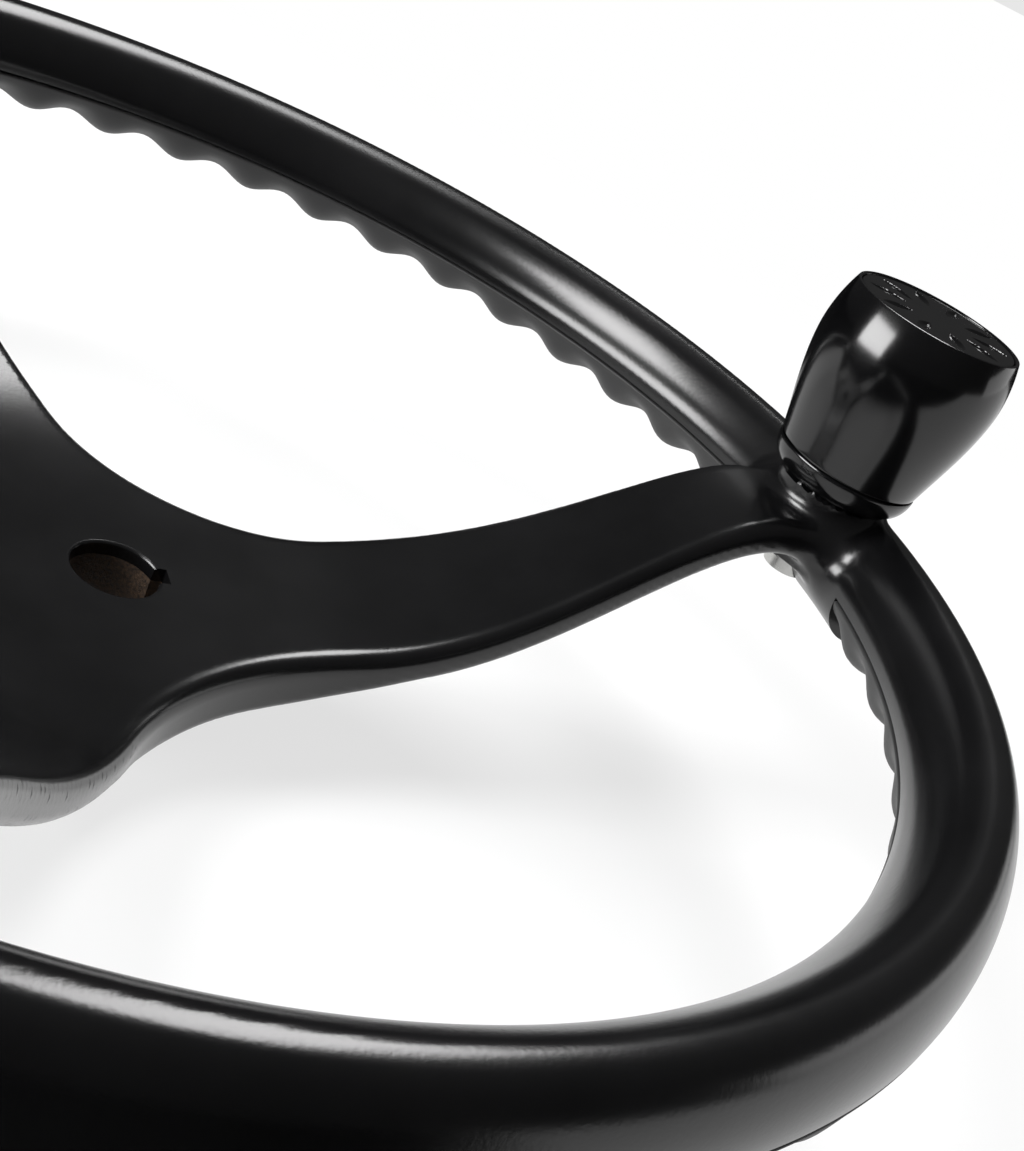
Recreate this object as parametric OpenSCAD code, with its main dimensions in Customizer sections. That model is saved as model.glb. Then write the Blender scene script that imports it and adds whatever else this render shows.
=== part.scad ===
// Deep-dish three-spoke helm wheel with a spinner knob.
// The origin is on the shaft axis, at the rear face of the hub boss.
// +Z points along the shaft to the driver, and +X points to the spoke that carries the knob.

/* [Rim] */
// Outside diameter of the rim
rim_od = 330; // [300:1:380]
// Height of the rim's mid-plane above the hub's front face
dish = 41; // [34:0.5:50]
// Height of the rim section above its mid-plane
rim_top_h = 13.1; // [11:0.1:16]
// Height of the rim section below its mid-plane
rim_low_h = 11.3; // [10.5:0.1:14]
// Reach of the rim section outward from its crest line
rim_reach_out = 8.65; // [8:0.05:11]
// Reach of the rim section inward from its crest line
rim_reach_in = 10.7; // [10:0.1:13]
// Lean of the outer wall above the mid-plane, as a share of its reach at the crest
rim_lean_out = 0.17; // [0:0.01:0.3]
// Lean of the inner wall above the mid-plane, as a share of its reach at the crest
rim_lean_in = 0.5; // [0.2:0.01:0.6]
// Squareness of the rim section, where 2 is an ellipse
rim_squareness = 2.33; // [2:0.01:3]

/* [Spokes] */
// Half width of a spoke at its root
spoke_root_w = 21.3; // [17:0.1:24]
// Half width of a spoke near the rim
spoke_tip_w = 13.8; // [10:0.1:15]
// Fillet radius between two spokes at the hub
root_fillet = 62; // [50:1:75]
// Fillet radius where a spoke's edge runs into the rim
tip_fillet = 10; // [6:0.5:12]
// Distance inside the crest line at which a spoke has narrowed to its tip width
spoke_taper_in = 30.35; // [26:0.05:60]
// Distance inside the crest line at which a spoke's top levels out
spoke_crest_in = 21.35; // [16:0.05:30]
// Height of a spoke's top above the rim's mid-plane where it meets the rim
spoke_meet_h = 7.5; // [4:0.5:9]
// Late start of the spoke's upward sweep, where 1 is an even S curve
spoke_sweep = 1.8; // [1.2:0.1:2.2]
// Thickness of the web around the hub
web_t = 12; // [9:0.1:14]
// Thickness of a spoke
spoke_t = 8; // [7:0.1:12]

/* [Hub] */
// Length of the hub from its rear face to its front face
hub_len = 24; // [22:0.5:32]
// Radius of the hub's rear boss
boss_r = 20; // [18:0.5:23]
// Radius of the flat face around the bore, in front
nut_face_r = 20; // [15:0.5:24]
// Large diameter of the shaft taper, at the rear face (three quarters of an inch)
taper_d = 19.05; // [19:0.05:25.4]
// Length of shaft taper for one unit of diameter
taper_ratio = 12; // [8:1:16]
// Thickness of the casting's lip in front of the taper bush
lip_t = 3; // [2:0.5:5]
// Outside radius of the taper bush
bush_r = 13; // [12.5:0.5:14]
// Width of the keyway (three sixteenths of an inch)
key_w = 4.76; // [3:0.01:6.35]
// Distance from the shaft axis to the bottom of the keyway
key_reach = 10.6; // [10.4:0.1:12]

/* [Grip] */
// Length of the crest line that the grips leave free, on each side of a spoke
grip_free_len = 26.2; // [24:0.1:40]
// Depth of the parting line below the rim's mid-plane
seam_drop = 1.85; // [1:0.05:3]
// Width of the groove at the parting line
seam_gap = 0.3; // [0.2:0.05:0.6]
// Height of the tongue on the casting that the grip straddles
tongue_h = 3.65; // [2.5:0.05:5]
// Inner half width of the tongue from the crest line
tongue_in = 7.5; // [6:0.1:8]
// Outer half width of the tongue from the crest line
tongue_out = 5; // [4:0.1:5.5]
// Thickness of the stiff strip inside each grip
strip_t = 1.6; // [1:0.1:2]
// Width of the stiff strip
strip_w = 8; // [6:0.5:9]
// Diameter of the strip's pegs
peg_d = 4; // [3:0.1:5]
// Length of the strip's pegs
peg_len = 4.5; // [3:0.5:6]
// Number of pegs on a strip
peg_count = 5; // [3:1:7]

/* [Knob] */
// Distance of the knob's axis inside the rim's crest line
knob_inset = 7.35; // [2:0.05:10]
// Radius of the pad on the rim under the knob
pad_r = 12.6; // [12:0.1:14]
// Height of the knob's base bowl
base_h = 6.2; // [5:0.1:9]
// Radius of the base bowl at its rim
base_r = 16.8; // [16:0.1:18]
// Running gap between the base bowl and the knob
part_gap = 0.5; // [0.4:0.1:1]
// Height of the knob's body
body_h = 36.8; // [34:0.1:44]
// Greatest radius of the knob's body
body_r = 21.4; // [20:0.1:25]
// Height of the greatest radius above the body's bottom
body_bulge_h = 24; // [20:0.5:29]
// Radius of the lip around the cap
lip_r = 19.5; // [19.3:0.1:21]
// Radius of the cap
cap_r = 18.4; // [17:0.1:19]
// Thickness of the cap
cap_t = 2; // [1.5:0.1:3]
// Depth of the cap's top below the lip
cap_sink = 0.3; // [0:0.1:0.6]
// Number of recesses round the cap
cap_leaf_count = 10; // [6:1:12]
// Depth of the cap's recesses
cap_leaf_depth = 0.8; // [0.4:0.1:1]
// Length of a recess
cap_leaf_len = 8.4; // [5:0.1:9]
// Width of a recess
cap_leaf_w = 2.3; // [1.5:0.1:3]
// Distance from the cap's centre to the middle of a recess
cap_leaf_r = 12.3; // [11:0.1:13]

/* [Knob bearing] */
// Diameter of the spindle
spindle_d = 10; // [8:0.1:11]
// Running clearance of the spindle in the bushes, on the diameter
bush_clear = 0.1; // [0.05:0.01:0.2]
// Outside diameter of the bushes
bush_od = 16; // [14:0.1:18]
// Diameter of the bushes' flanges
flange_d = 20; // [18:0.1:20.5]
// Thickness of the bushes' flanges
flange_t = 1.5; // [1:0.1:2]
// Length of each bush below its flange
bush_len = 9; // [7:0.5:11]
// Length of the bore that holds both bushes
hub_bore_len = 24; // [22:0.5:26]
// End play of the knob on the spindle, at each end
end_play = 0.1; // [0.05:0.05:0.2]
// Thickness of the thrust washer
thrust_t = 1; // [0.8:0.1:1.5]
// Thickness of the wave washer
wave_t = 1; // [0.6:0.1:1.2]
// Thickness of the retaining washer
keeper_t = 1.5; // [1:0.1:2]
// Radius of the retaining washer
keeper_r = 9; // [8:0.1:9.5]
// Thread diameter of the retaining screw
top_screw_d = 5; // [4:0.5:6]
// Thread diameter of the bolt under the rim
bolt_d = 6; // [5:0.5:6]
// Depth of the spindle's foot below the pad
foot_depth = 8; // [6:0.5:9]

/* [Hidden] */
$fn = 96;

clear = 0.03;          // slip clearance of fixed pieces, on the radius
side_clear = 0.15;     // clearance beside the tongue and the strip
spoke_count = 3;
spoke_step = 360 / spoke_count;
crest_r = rim_od / 2 - rim_reach_out;
knob_r = crest_r - knob_inset;
spoke_taper_end = crest_r - spoke_taper_in;
spoke_crest_r = crest_r - spoke_crest_in;
grip_gap = grip_free_len / crest_r * 180 / PI;   // the same length, in degrees
bush_bore_d = spindle_d + bush_clear;
rim_z = hub_len + dish;
seam_z = rim_z - seam_drop;
tongue_z = seam_z - tongue_h;
strip_z = tongue_z - strip_t;

web_rise = dish + spoke_meet_h;
sweep_start_r = 5;
web_end_r = crest_r - 6;
web_grid = 5;
root_centre = (root_fillet + spoke_root_w) / sin(spoke_step / 2);
root_end_x = root_centre * cos(spoke_step / 2);
tip_overlap = 2.2;     // how far the tip fillets run into the rim
tip_fillet_end = sqrt(pow(crest_r - rim_reach_in + tip_overlap, 2) - pow(spoke_tip_w + tip_fillet, 2));
web_thin_start = 35;
web_thin_len = 30;

lip_bore_r = (taper_d - (hub_len - lip_t) / taper_ratio) / 2;
bush_len_z = hub_len - lip_t;

pad_z = rim_z + rim_top_h + 0.1;
part_z = pad_z + base_h;
body_z = part_z + part_gap;
spindle_flange_t = 3;
spindle_flange_r = 12;
spindle_seat_z = part_z - spindle_flange_t - 0.2;
spindle_shoulder_z = spindle_seat_z + spindle_flange_t;
thrust_z = spindle_shoulder_z;
low_flange_z = thrust_z + thrust_t + end_play;
low_bore_z = low_flange_z + flange_t;
high_flange_z = low_bore_z + hub_bore_len;
wave_z = high_flange_z + flange_t + end_play;
spindle_top_z = wave_z + wave_t + end_play;
keeper_z = spindle_top_z;
keeper_head_z = keeper_z + keeper_t;
body_top_z = body_z + body_h;
cap_seat_z = body_top_z - cap_sink - cap_t;
cap_spigot_r = 12.8;
cap_spigot_wall = 2.3;
cap_spigot_h = 3;
body_well_r = 13;
o_ring_wire = 0.75;
o_ring_r = body_well_r - o_ring_wire - 0.05;
core_in_r = bush_od / 2 + 2.6;
core_out_r = 15.2;
core_depth = 18;
core_rib_w = 2;
core_rib_count = 6;
counterbore_r = 5.8;
counterbore_z = pad_z - foot_depth - 7.2;
lock_washer_t = 1.5;
lock_washer_r = 5.4;
bolt_head_r = 5;
bolt_head_h = 6;
bolt_reach = 9;
dowel_d = 4;
dowel_r = 8.6;
dowel_sink = 5;

// ---- shared formulas ----

function smooth01(t) = let (u = min(1, max(0, t))) u * u * (3 - 2 * u);
function power_sign(v, e) = sign(v) * pow(abs(v), e);

// A point of the rim section at angle a, measured from the crest line and the mid-plane.
function rim_point(a) =
    let (z = power_sign(sin(a), 2 / rim_squareness) * (sin(a) > 0 ? rim_top_h : rim_low_h),
         reach = cos(a) > 0 ? rim_reach_out : rim_reach_in,
         lean = z > 0 ? (cos(a) > 0 ? rim_lean_out : rim_lean_in) * pow(z / rim_top_h, 1.5) : 0)
    [power_sign(cos(a), 2 / rim_squareness) * reach * (1 - lean), z];

// Height of the web's and the spokes' top at distance r from the axis.
function web_top(r) = hub_len + (r <= nut_face_r ? 0 :
    web_rise * smooth01(pow(max(0, r - sweep_start_r) / (spoke_crest_r - sweep_start_r), spoke_sweep)));
function web_slope(r) = (web_top(r + 1) - web_top(r - 1)) / 2;
function web_thick(r) = web_t + (spoke_t - web_t) * smooth01((r - web_thin_start) / web_thin_len);
function web_bottom(r) = web_top(r) - web_thick(r) * sqrt(1 + pow(web_slope(r), 2));

// Half width of a spoke at distance x from the axis, past the root fillets.
function spoke_half(x) =
    spoke_root_w + (spoke_tip_w - spoke_root_w)
        * smooth01((x - root_end_x) / (spoke_taper_end - root_end_x))
    + (x < tip_fillet_end - tip_fillet ? 0 :
       tip_fillet - sqrt(max(0, pow(tip_fillet, 2) - pow(x - tip_fillet_end + tip_fillet, 2))));

// One third of the plan outline, from the middle of one gap to the middle of the next.
function spoke_edge() = concat(
    [for (a = [240 : 5 : 265]) [root_centre * cos(spoke_step / 2) + root_fillet * cos(a),
                                root_centre * sin(spoke_step / 2) + root_fillet * sin(a)]],
    [for (i = [0 : 20]) let (x = root_end_x + i / 20 * (tip_fillet_end - root_end_x)) [x, spoke_half(x)]],
    [[web_end_r, spoke_half(tip_fillet_end)]]);
function mirrored(points) = [for (i = [len(points) - 1 : -1 : 1]) [points[i][0], -points[i][1]]];

module ring(r_in, r_out, h) {
    difference() {
        cylinder(r = r_out, h = h);
        translate([0, 0, -1]) cylinder(r = r_in, h = h + 2);
    }
}

module at_knob(z = 0) {
    translate([knob_r, 0, z]) children();
}

// ---- wheel ----

module rim_section() {
    polygon([for (a = [0 : 9 : 351]) [crest_r + rim_point(a)[0], rim_z + rim_point(a)[1]]]);
}

// The room beneath the seam that a grip fills around the casting's tongue.
module grip_space() {
    difference() {
        translate([crest_r - 2 * rim_reach_in, rim_z - 2 * rim_low_h])
            square([4 * rim_reach_in, 2 * rim_low_h - seam_drop]);
        translate([crest_r - tongue_in, tongue_z])
            square([tongue_in + tongue_out, 2 * tongue_h]);
    }
}

module web_section() {
    polygon(concat(
        [[0, web_top(0)], [nut_face_r, web_top(0)]],
        [for (r = [25 : web_grid : web_end_r]) [r, web_top(r)]],
        [[web_end_r, web_top(web_end_r)], [web_end_r, web_bottom(web_end_r)]],
        [for (i = [floor(web_end_r / web_grid) : -1 : 5]) [i * web_grid, web_bottom(i * web_grid)]],
        [[0, web_bottom(25)]]));
}

module plan_outline() {
    circle(r = root_centre - root_fillet + 1);
    for (k = [0 : spoke_count - 1])
        rotate(k * spoke_step)
            polygon(concat([[0, 0]], spoke_edge(), mirrored(spoke_edge()),
                           [[spoke_edge()[0][0], -spoke_edge()[0][1]]]));
}

module spider() {
    intersection() {
        rotate_extrude() web_section();
        translate([0, 0, -1]) linear_extrude(height = rim_z + 2 * rim_top_h) plan_outline();
    }
}

module peg_holes() {
    for (k = [0 : spoke_count - 1])
        grip_pegs(k, peg_d / 2 + clear, peg_len + 0.5);
}

module keyway(z, h) {
    translate([0, -key_w / 2, z]) cube([key_reach, key_w, h]);
}

module wheel_casting() {
    color([0.05, 0.05, 0.055])
    difference() {
        union() {
            difference() {
                rotate_extrude() rim_section();
                for (k = [0 : spoke_count - 1]) grip_sweep(k, 0) grip_space();
            }
            spider();
            cylinder(r = boss_r, h = hub_len - 1);
            at_knob(rim_z) cylinder(r = pad_r, h = pad_z - rim_z);
        }
        translate([0, 0, -1]) cylinder(r = bush_r + clear, h = bush_len_z + 1);
        translate([0, 0, -1]) cylinder(r = lip_bore_r, h = hub_len + 2);
        keyway(bush_len_z - 1, lip_t + 2);
        peg_holes();
        at_knob(pad_z - foot_depth) cylinder(d = spindle_d + 2 * clear, h = foot_depth + 1);
        at_knob(counterbore_z - 1) cylinder(d = bolt_d + 0.6, h = foot_depth + 10);
        at_knob(rim_z - rim_low_h - 20)
            cylinder(r = counterbore_r, h = counterbore_z - rim_z + rim_low_h + 20);
        translate([knob_r + dowel_r, 0, pad_z - dowel_sink])
            cylinder(d = dowel_d + 2 * clear, h = dowel_sink + 1);
    }
}

module hub_bush() {
    color([0.30, 0.22, 0.15])
    difference() {
        cylinder(r = bush_r, h = bush_len_z);
        translate([0, 0, -1])
            cylinder(d1 = taper_d + 1 / taper_ratio, d2 = 2 * lip_bore_r - 1 / taper_ratio,
                     h = bush_len_z + 2);
        keyway(-1, bush_len_z + 2);
    }
}

// ---- grips ----

module grip_section() {
    difference() {
        intersection() {
            rim_section();
            translate([crest_r - 2 * rim_reach_in, rim_z - 2 * rim_low_h])
                square([4 * rim_reach_in, 2 * rim_low_h - seam_drop - seam_gap]);
        }
        translate([crest_r - tongue_in - side_clear, tongue_z])
            square([tongue_in + tongue_out + 2 * side_clear, 2 * tongue_h]);
        translate([crest_r - strip_w / 2 - 1 - side_clear, strip_z])
            square([strip_w + 2 * side_clear, 2 * strip_t]);
    }
}

module grip_sweep(k, margin) {
    rotate([0, 0, k * spoke_step + grip_gap + margin])
        rotate_extrude(angle = spoke_step - 2 * (grip_gap + margin)) children();
}

module grip(k) {
    color([0.10, 0.10, 0.105]) grip_sweep(k, 0.1) grip_section();
}

module grip_pegs(k, r, h) {
    usable = spoke_step - 2 * grip_gap;
    for (i = [0 : peg_count - 1])
        rotate(k * spoke_step + grip_gap + usable * (i + 0.5) / peg_count)
            translate([crest_r - 1, 0, tongue_z]) cylinder(r = r, h = h);
}

module grip_strip(k) {
    color([0.55, 0.55, 0.52])
    union() {
        grip_sweep(k, 1)
            translate([crest_r - strip_w / 2 - 1, strip_z]) square([strip_w, strip_t]);
        translate([0, 0, -0.2]) grip_pegs(k, peg_d / 2, peg_len + 0.2);
    }
}

// ---- knob, fixed pieces ----

module knob_base() {
    color([0.04, 0.04, 0.045])
    at_knob(pad_z)
    difference() {
        rotate_extrude()
            polygon(concat([[0, 0], [pad_r, 0]],
                [for (i = [1 : 7]) let (t = i / 8)
                    [pad_r + (base_r - pad_r) * sin(90 * t), base_h * (1 - cos(90 * t))]],
                [[base_r, base_h], [0, base_h]]));
        translate([0, 0, -1]) cylinder(d = spindle_d + 2 * clear, h = base_h + 2);
        translate([0, 0, spindle_seat_z - pad_z]) cylinder(r = spindle_flange_r + 0.2, h = base_h);
        translate([0, 0, base_h - 0.9]) ring(13.9, 15.6, 2);
        translate([dowel_r, 0, -1]) cylinder(d = dowel_d + 2 * clear, h = base_h);
    }
}

module base_dowel() {
    color([0.7, 0.7, 0.7])
    translate([knob_r + dowel_r, 0, pad_z - dowel_sink])
        cylinder(d = dowel_d, h = dowel_sink + spindle_seat_z - pad_z - 0.2);
}

module dust_seal() {
    color([0.02, 0.02, 0.02])
    at_knob(part_z - 0.9) ring(13.95, 15.55, 1.1);
}

module knob_spindle() {
    color([0.72, 0.72, 0.72])
    at_knob()
    difference() {
        union() {
            translate([0, 0, pad_z - foot_depth])
                cylinder(d = spindle_d, h = spindle_top_z - pad_z + foot_depth);
            translate([0, 0, spindle_seat_z]) cylinder(r = spindle_flange_r, h = spindle_flange_t);
        }
        translate([0, 0, pad_z - foot_depth - 1]) cylinder(r = bolt_d / 2 + clear, h = bolt_reach + 2);
        translate([0, 0, spindle_top_z - 10]) cylinder(r = top_screw_d / 2 + clear, h = 11);
    }
}

module knob_bolt() {
    color([0.6, 0.6, 0.6])
    at_knob()
    difference() {
        union() {
            translate([0, 0, counterbore_z - lock_washer_t - bolt_head_h])
                cylinder(r = bolt_head_r, h = bolt_head_h);
            translate([0, 0, counterbore_z - lock_washer_t - 0.5])
                cylinder(d = bolt_d, h = pad_z - foot_depth - counterbore_z + lock_washer_t + bolt_reach);
        }
        translate([0, 0, counterbore_z - lock_washer_t - bolt_head_h - 1])
            cylinder(r = 2.9, h = 4, $fn = 6);
    }
}

module bolt_lock_washer() {
    color([0.6, 0.6, 0.6])
    at_knob(counterbore_z - lock_washer_t)
    difference() {
        ring(bolt_d / 2 + 0.2, lock_washer_r, lock_washer_t);
        rotate([20, 0, 0]) translate([0, -0.3, -2]) cube([10, 0.6, 6]);
    }
}

module thrust_washer() {
    color([0.85, 0.82, 0.70])
    at_knob(thrust_z) ring(spindle_d / 2 + 0.1, flange_d / 2 - 0.5, thrust_t);
}

module wave_washer() {
    color([0.6, 0.6, 0.6])
    at_knob(wave_z) ring(spindle_d / 2 + 0.2, keeper_r - 0.5, wave_t);
}

module keeper_washer() {
    color([0.6, 0.6, 0.6])
    at_knob(keeper_z) ring(top_screw_d / 2 + 0.2, keeper_r, keeper_t);
}

module keeper_screw() {
    color([0.6, 0.6, 0.6])
    at_knob()
    difference() {
        union() {
            translate([0, 0, keeper_head_z]) cylinder(d1 = 1.9 * top_screw_d, d2 = 1.3 * top_screw_d, h = 2.4);
            translate([0, 0, keeper_head_z - 9]) cylinder(d = top_screw_d, h = 9.5);
        }
        translate([0, 0, keeper_head_z + 0.8]) cylinder(r = 1.7, h = 4, $fn = 6);
    }
}

// ---- knob, turning pieces ----

module bush(flange_z, barrel_z) {
    color([0.62, 0.45, 0.22])
    at_knob()
    difference() {
        union() {
            translate([0, 0, barrel_z]) cylinder(d = bush_od, h = bush_len);
            translate([0, 0, flange_z]) cylinder(d = flange_d, h = flange_t);
        }
        translate([0, 0, barrel_z - 5]) cylinder(d = bush_bore_d, h = bush_len + 10);
    }
}

module lower_bush() {
    bush(low_flange_z, low_bore_z - 0.01);
}

module upper_bush() {
    bush(high_flange_z, high_flange_z - bush_len + 0.01);
}

// Radius of the knob's body at height h above its bottom.
function body_radius(h) = h < body_bulge_h
    ? base_r + (body_r - base_r) * sin(90 * h / body_bulge_h)
    : body_r - (body_r - lip_r) * pow((h - body_bulge_h) / (body_h - body_bulge_h), 2);

module knob_body() {
    color([0.03, 0.03, 0.035])
    at_knob()
    difference() {
        translate([0, 0, body_z])
            rotate_extrude()
                polygon(concat([[0, 0]],
                    [for (i = [0 : 9]) [body_radius(i / 9 * body_bulge_h), i / 9 * body_bulge_h]],
                    [for (i = [1 : 7]) let (h = body_bulge_h + (body_h - body_bulge_h) * i / 7)
                        [body_radius(h), h]],
                    [[0, body_h]]));
        translate([0, 0, body_z - 1]) cylinder(d = flange_d + 0.4, h = low_bore_z - body_z + 1);
        translate([0, 0, body_z]) cylinder(d = bush_od + 2 * clear, h = body_h);
        translate([0, 0, high_flange_z]) cylinder(r = body_well_r, h = body_h);
        translate([0, 0, cap_seat_z]) cylinder(r = cap_r + 0.1, h = body_h);
        difference() {
            translate([0, 0, cap_seat_z - core_depth]) ring(core_in_r, core_out_r, body_h);
            for (k = [0 : core_rib_count - 1])
                rotate(k * 360 / core_rib_count)
                    translate([0, -core_rib_w / 2, 0]) cube([2 * core_out_r, core_rib_w, cap_seat_z]);
        }
    }
}

// Two arcs that meet in points, as long and as wide as a recess.
module cap_leaf() {
    arc_r = (pow(cap_leaf_len / 2, 2) + pow(cap_leaf_w / 2, 2)) / cap_leaf_w;
    intersection() {
        translate([0, arc_r - cap_leaf_w / 2, 0]) cylinder(r = arc_r, h = cap_t + 1);
        translate([0, cap_leaf_w / 2 - arc_r, 0]) cylinder(r = arc_r, h = cap_t + 1);
    }
}

module knob_cap() {
    color([0.04, 0.04, 0.045])
    at_knob(cap_seat_z)
    difference() {
        union() {
            cylinder(r = cap_r, h = cap_t);
            translate([0, 0, -cap_spigot_h])
                ring(cap_spigot_r - cap_spigot_wall, cap_spigot_r, cap_spigot_h + 0.5);
        }
        translate([0, 0, -cap_spigot_h / 2 - o_ring_wire])
            ring(o_ring_r - o_ring_wire - 0.05, cap_spigot_r + 1, 2 * o_ring_wire + 0.1);
        for (k = [0 : cap_leaf_count - 1])
            rotate((k + 0.5) * 360 / cap_leaf_count)
                translate([cap_leaf_r, 0, cap_t - cap_leaf_depth]) cap_leaf();
    }
}

module cap_o_ring() {
    color([0.02, 0.02, 0.02])
    at_knob(cap_seat_z - cap_spigot_h / 2 + 0.05)
        rotate_extrude() translate([o_ring_r, 0]) circle(r = o_ring_wire, $fn = 24);
}

wheel_casting();
hub_bush();
grip(0);  // grip_1
grip(1);  // grip_2
grip(2);  // grip_3
grip_strip(0);  // grip_strip_1
grip_strip(1);  // grip_strip_2
grip_strip(2);  // grip_strip_3
knob_base();
base_dowel();
dust_seal();
knob_spindle();
knob_bolt();
bolt_lock_washer();
thrust_washer();
lower_bush();
upper_bush();
wave_washer();
keeper_washer();
keeper_screw();
knob_body();
knob_cap();
cap_o_ring();
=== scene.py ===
# %% [markdown]
# # A deep-dish helm wheel with a spinner knob
# The wheel is one aluminium casting: hub web, three spokes and the front of the rim. Soft grips close the rim
# from behind, and a free-spinning knob stands where one spoke meets the rim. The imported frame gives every
# size and place; this lesson gives each piece its real surface.

# %% Load the frame
import math

import bpy
import numpy as np
from mathutils import Matrix, Vector


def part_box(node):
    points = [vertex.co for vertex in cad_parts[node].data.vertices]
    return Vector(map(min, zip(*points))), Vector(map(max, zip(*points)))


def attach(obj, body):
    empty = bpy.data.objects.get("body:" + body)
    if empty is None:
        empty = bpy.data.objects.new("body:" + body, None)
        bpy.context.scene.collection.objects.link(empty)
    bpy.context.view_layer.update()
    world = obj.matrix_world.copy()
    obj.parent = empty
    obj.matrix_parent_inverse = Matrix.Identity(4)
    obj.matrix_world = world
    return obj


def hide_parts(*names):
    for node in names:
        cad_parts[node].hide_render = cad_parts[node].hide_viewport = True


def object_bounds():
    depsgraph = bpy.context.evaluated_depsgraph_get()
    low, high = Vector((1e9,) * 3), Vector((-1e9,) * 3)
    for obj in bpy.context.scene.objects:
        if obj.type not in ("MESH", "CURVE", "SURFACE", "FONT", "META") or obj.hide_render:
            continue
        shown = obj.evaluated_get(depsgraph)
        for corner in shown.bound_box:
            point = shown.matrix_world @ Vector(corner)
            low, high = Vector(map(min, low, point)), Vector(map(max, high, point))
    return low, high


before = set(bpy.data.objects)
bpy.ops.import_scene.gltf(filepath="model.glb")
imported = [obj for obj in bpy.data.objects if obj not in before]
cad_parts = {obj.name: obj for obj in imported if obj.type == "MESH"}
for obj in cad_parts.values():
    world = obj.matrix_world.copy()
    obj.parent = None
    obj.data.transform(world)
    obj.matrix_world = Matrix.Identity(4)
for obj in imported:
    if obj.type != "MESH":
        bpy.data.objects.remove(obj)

CAD_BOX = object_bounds()
WHEEL = "wheel"
KNOB = "knob"
MM = 0.001

# %% [markdown]
# ## Sizes from the frame
# A maker's drawing has a few driving sizes, and the rest follow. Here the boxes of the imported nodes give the
# driving ones, in millimetres, so that a change in the frame moves everything with it.

# %% Read the driving sizes
def box_mm(node):
    low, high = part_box(node)
    return np.array(low) / MM, np.array(high) / MM


rim_low, rim_high = box_mm("wheel_casting")
bush_low, bush_high = box_mm("hub_bush")
base_low, base_high = box_mm("knob_base")
body_low, body_high = box_mm("knob_body")
cap_low, cap_high = box_mm("knob_cap")
grip_low, grip_high = box_mm("grip_1")

SEAM_GAP = 0.3
SEAM_DROP = 1.85
SEAM_Z = grip_high[2] + SEAM_GAP
RIM_Z = SEAM_Z + SEAM_DROP
REACH_OUT, REACH_IN = 8.65, 10.7
TOP_H = 13.1
LOW_H = 11.3
CREST_R = rim_high[0] - REACH_OUT
LIP_T = 3.0
HUB_LEN = bush_high[2] + LIP_T
KNOB_R = (base_low[0] + base_high[0]) / 2
PAD_Z = base_low[2]
PART_Z = base_high[2]
GRIP_GAP = 26.2 / CREST_R
SPOKE_STEP = 2 * math.pi / 3
print(f"crest radius {CREST_R:.2f}, rim mid-plane at {RIM_Z:.2f}, hub front at {HUB_LEN:.2f}")

# %% [markdown]
# ## The casting as a distance field
# A casting has no sharp joins: every spoke flows into the rim through a fillet. Bevels on a joined mesh break
# down where three fillets meet, so the casting is written as a signed distance field instead. Each simple
# form is a formula that is negative inside, and two forms are joined by a union that rolls a ball of a given
# radius along the corner, as the pattern maker does.

# %% Field helpers
def smooth01(t):
    u = np.clip(t, 0, 1)
    return u * u * (3 - 2 * u)


def ball_union(a, b, radius):
    """The union of two fields, with a fillet of that radius in the corner."""
    u = np.maximum(radius - a, 0)
    v = np.maximum(radius - b, 0)
    return np.maximum(radius, np.minimum(a, b)) - np.hypot(u, v)


def round_meet(a, b, radius):
    """The common part of two fields, with its edge rounded to that radius."""
    u = np.maximum(a + radius, 0)
    v = np.maximum(b + radius, 0)
    return np.minimum(np.maximum(a, b) + radius, 0) + np.hypot(u, v) - radius


def disc_field(x, y, z, r, z_low, z_high, edge):
    flat = np.maximum(z - z_high, z_low - z)
    return round_meet(np.hypot(x, y) - r, flat, edge)


# %% [markdown]
# The rim's section is a squared-off ellipse whose inner wall leans outward towards the driver. Along its
# front runs a shallow flat band for the thumb, with a soft ridge on each side.

# %% Rim section
SQUARENESS = 2.33
LEAN_OUT, LEAN_IN = 0.17, 0.50
BAND_CENTRE, BAND_HALF, BAND_DEPTH = -0.4, 5.2, 0.42


def section_level(x, z):
    up = np.clip(z / TOP_H, 0, 1.2) ** 1.5
    outer = x > 0
    reach = np.where(outer, REACH_OUT, REACH_IN) * (1 - np.where(outer, LEAN_OUT, LEAN_IN) * up)
    height = np.where(z > 0, TOP_H, LOW_H)
    return (np.abs(x / reach) ** SQUARENESS + np.abs(z / height) ** SQUARENESS) ** (1 / SQUARENESS) - 1


def rim_field(x, z):
    e = 0.05
    gx = (section_level(x + e, z) - section_level(x - e, z)) / (2 * e)
    gz = (section_level(x, z + e) - section_level(x, z - e)) / (2 * e)
    distance = section_level(x, z) / np.maximum(np.hypot(gx, gz), 0.02)
    band = smooth01(1.25 - 1.25 * np.abs(x - BAND_CENTRE) / BAND_HALF)
    return distance + BAND_DEPTH * band * (z > 0)


# %% [markdown]
# The spokes sweep up from the hub along an S curve. In plan they taper, and a large fillet joins each one to
# the next around the hub. Folding the plan into one sixth of a turn lets one formula serve all three.

# %% Hub web and spokes
ROOT_W, TIP_W, ROOT_FILLET = 21.3, 13.8, 62.0
TAPER_END, SWEEP_START, CREST, SWEEP = 126.0, 5.0, 135.0, 1.8
WEB_RISE = RIM_Z - HUB_LEN + 7.5
WEB_T, SPOKE_T = 12.0, 8.0
FRONT_EDGE, REAR_EDGE = 4.2, 2.4
WEB_END = CREST_R - 8.5
ROOT_CENTRE = (ROOT_FILLET + ROOT_W) / math.sin(SPOKE_STEP / 2)
ROOT_END = ROOT_CENTRE * math.cos(SPOKE_STEP / 2)


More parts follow.
